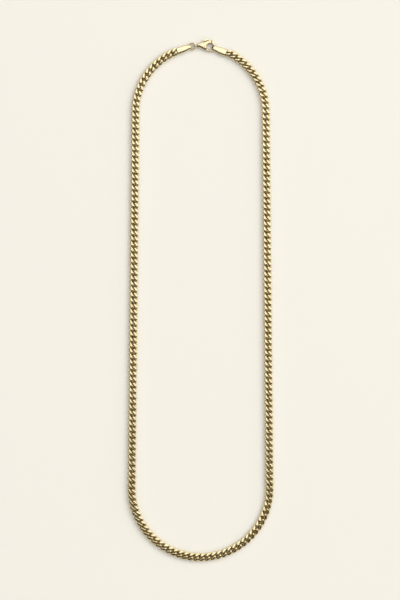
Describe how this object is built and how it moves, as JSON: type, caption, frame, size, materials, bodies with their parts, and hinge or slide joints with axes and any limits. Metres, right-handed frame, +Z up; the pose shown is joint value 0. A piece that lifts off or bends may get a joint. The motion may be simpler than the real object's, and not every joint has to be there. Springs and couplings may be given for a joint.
{
  "type": "cuban link neck chain with a lobster clasp",
  "caption": "Flat curb-link neck chain of tight twisted oval links, closed by a lobster clasp with a sprung lever between two tapered end tags, lying as a long narrow loop.",
  "frame": {"origin": "the middle of the lying necklace's footprint, on the surface that it rests on", "axes": "+Z up, square to the chain's flat faces; +Y along the long loop towards the clasp; +X across the loop, towards the hook end of the clasp"},
  "size_m": [0.0696, 0.2487, 0.0022],
  "materials": {
    "link_gold": "polished pale yellow gold, cast and drawn links with two ground and buffed flat faces",
    "tag_gold": "buffed pale yellow gold bar, with fine lengthwise polishing lines",
    "ring_gold": "polished yellow gold wire",
    "clasp_gold": "polished cast yellow gold",
    "lever_gold": "polished cast yellow gold, worn brighter at the thumb tab",
    "pin_gold": "polished yellow gold wire, filed flush at both ends"
  },
  "bodies": {
    "necklace": {"chain_back_left": "link_gold", "chain_side_left": "link_gold", "chain_front": "link_gold", "chain_side_right": "link_gold", "chain_back_right": "link_gold", "end_tag_left": "tag_gold", "end_tag_right": "tag_gold", "jump_ring": "ring_gold", "clasp_body": "clasp_gold", "clasp_pin": "pin_gold"},
    "lever": {"clasp_lever": "lever_gold"}
  },
  "joints": [
    {"name": "clasp_lever_pivot", "type": "hinge", "parent": "necklace", "child": "lever", "pos_m": [0.00174, 0.12039, 0.0011], "axis": [0, 0, 1], "range_deg": [0, 26], "stiffness_Nm_per_rad": 0.005}
  ]
}
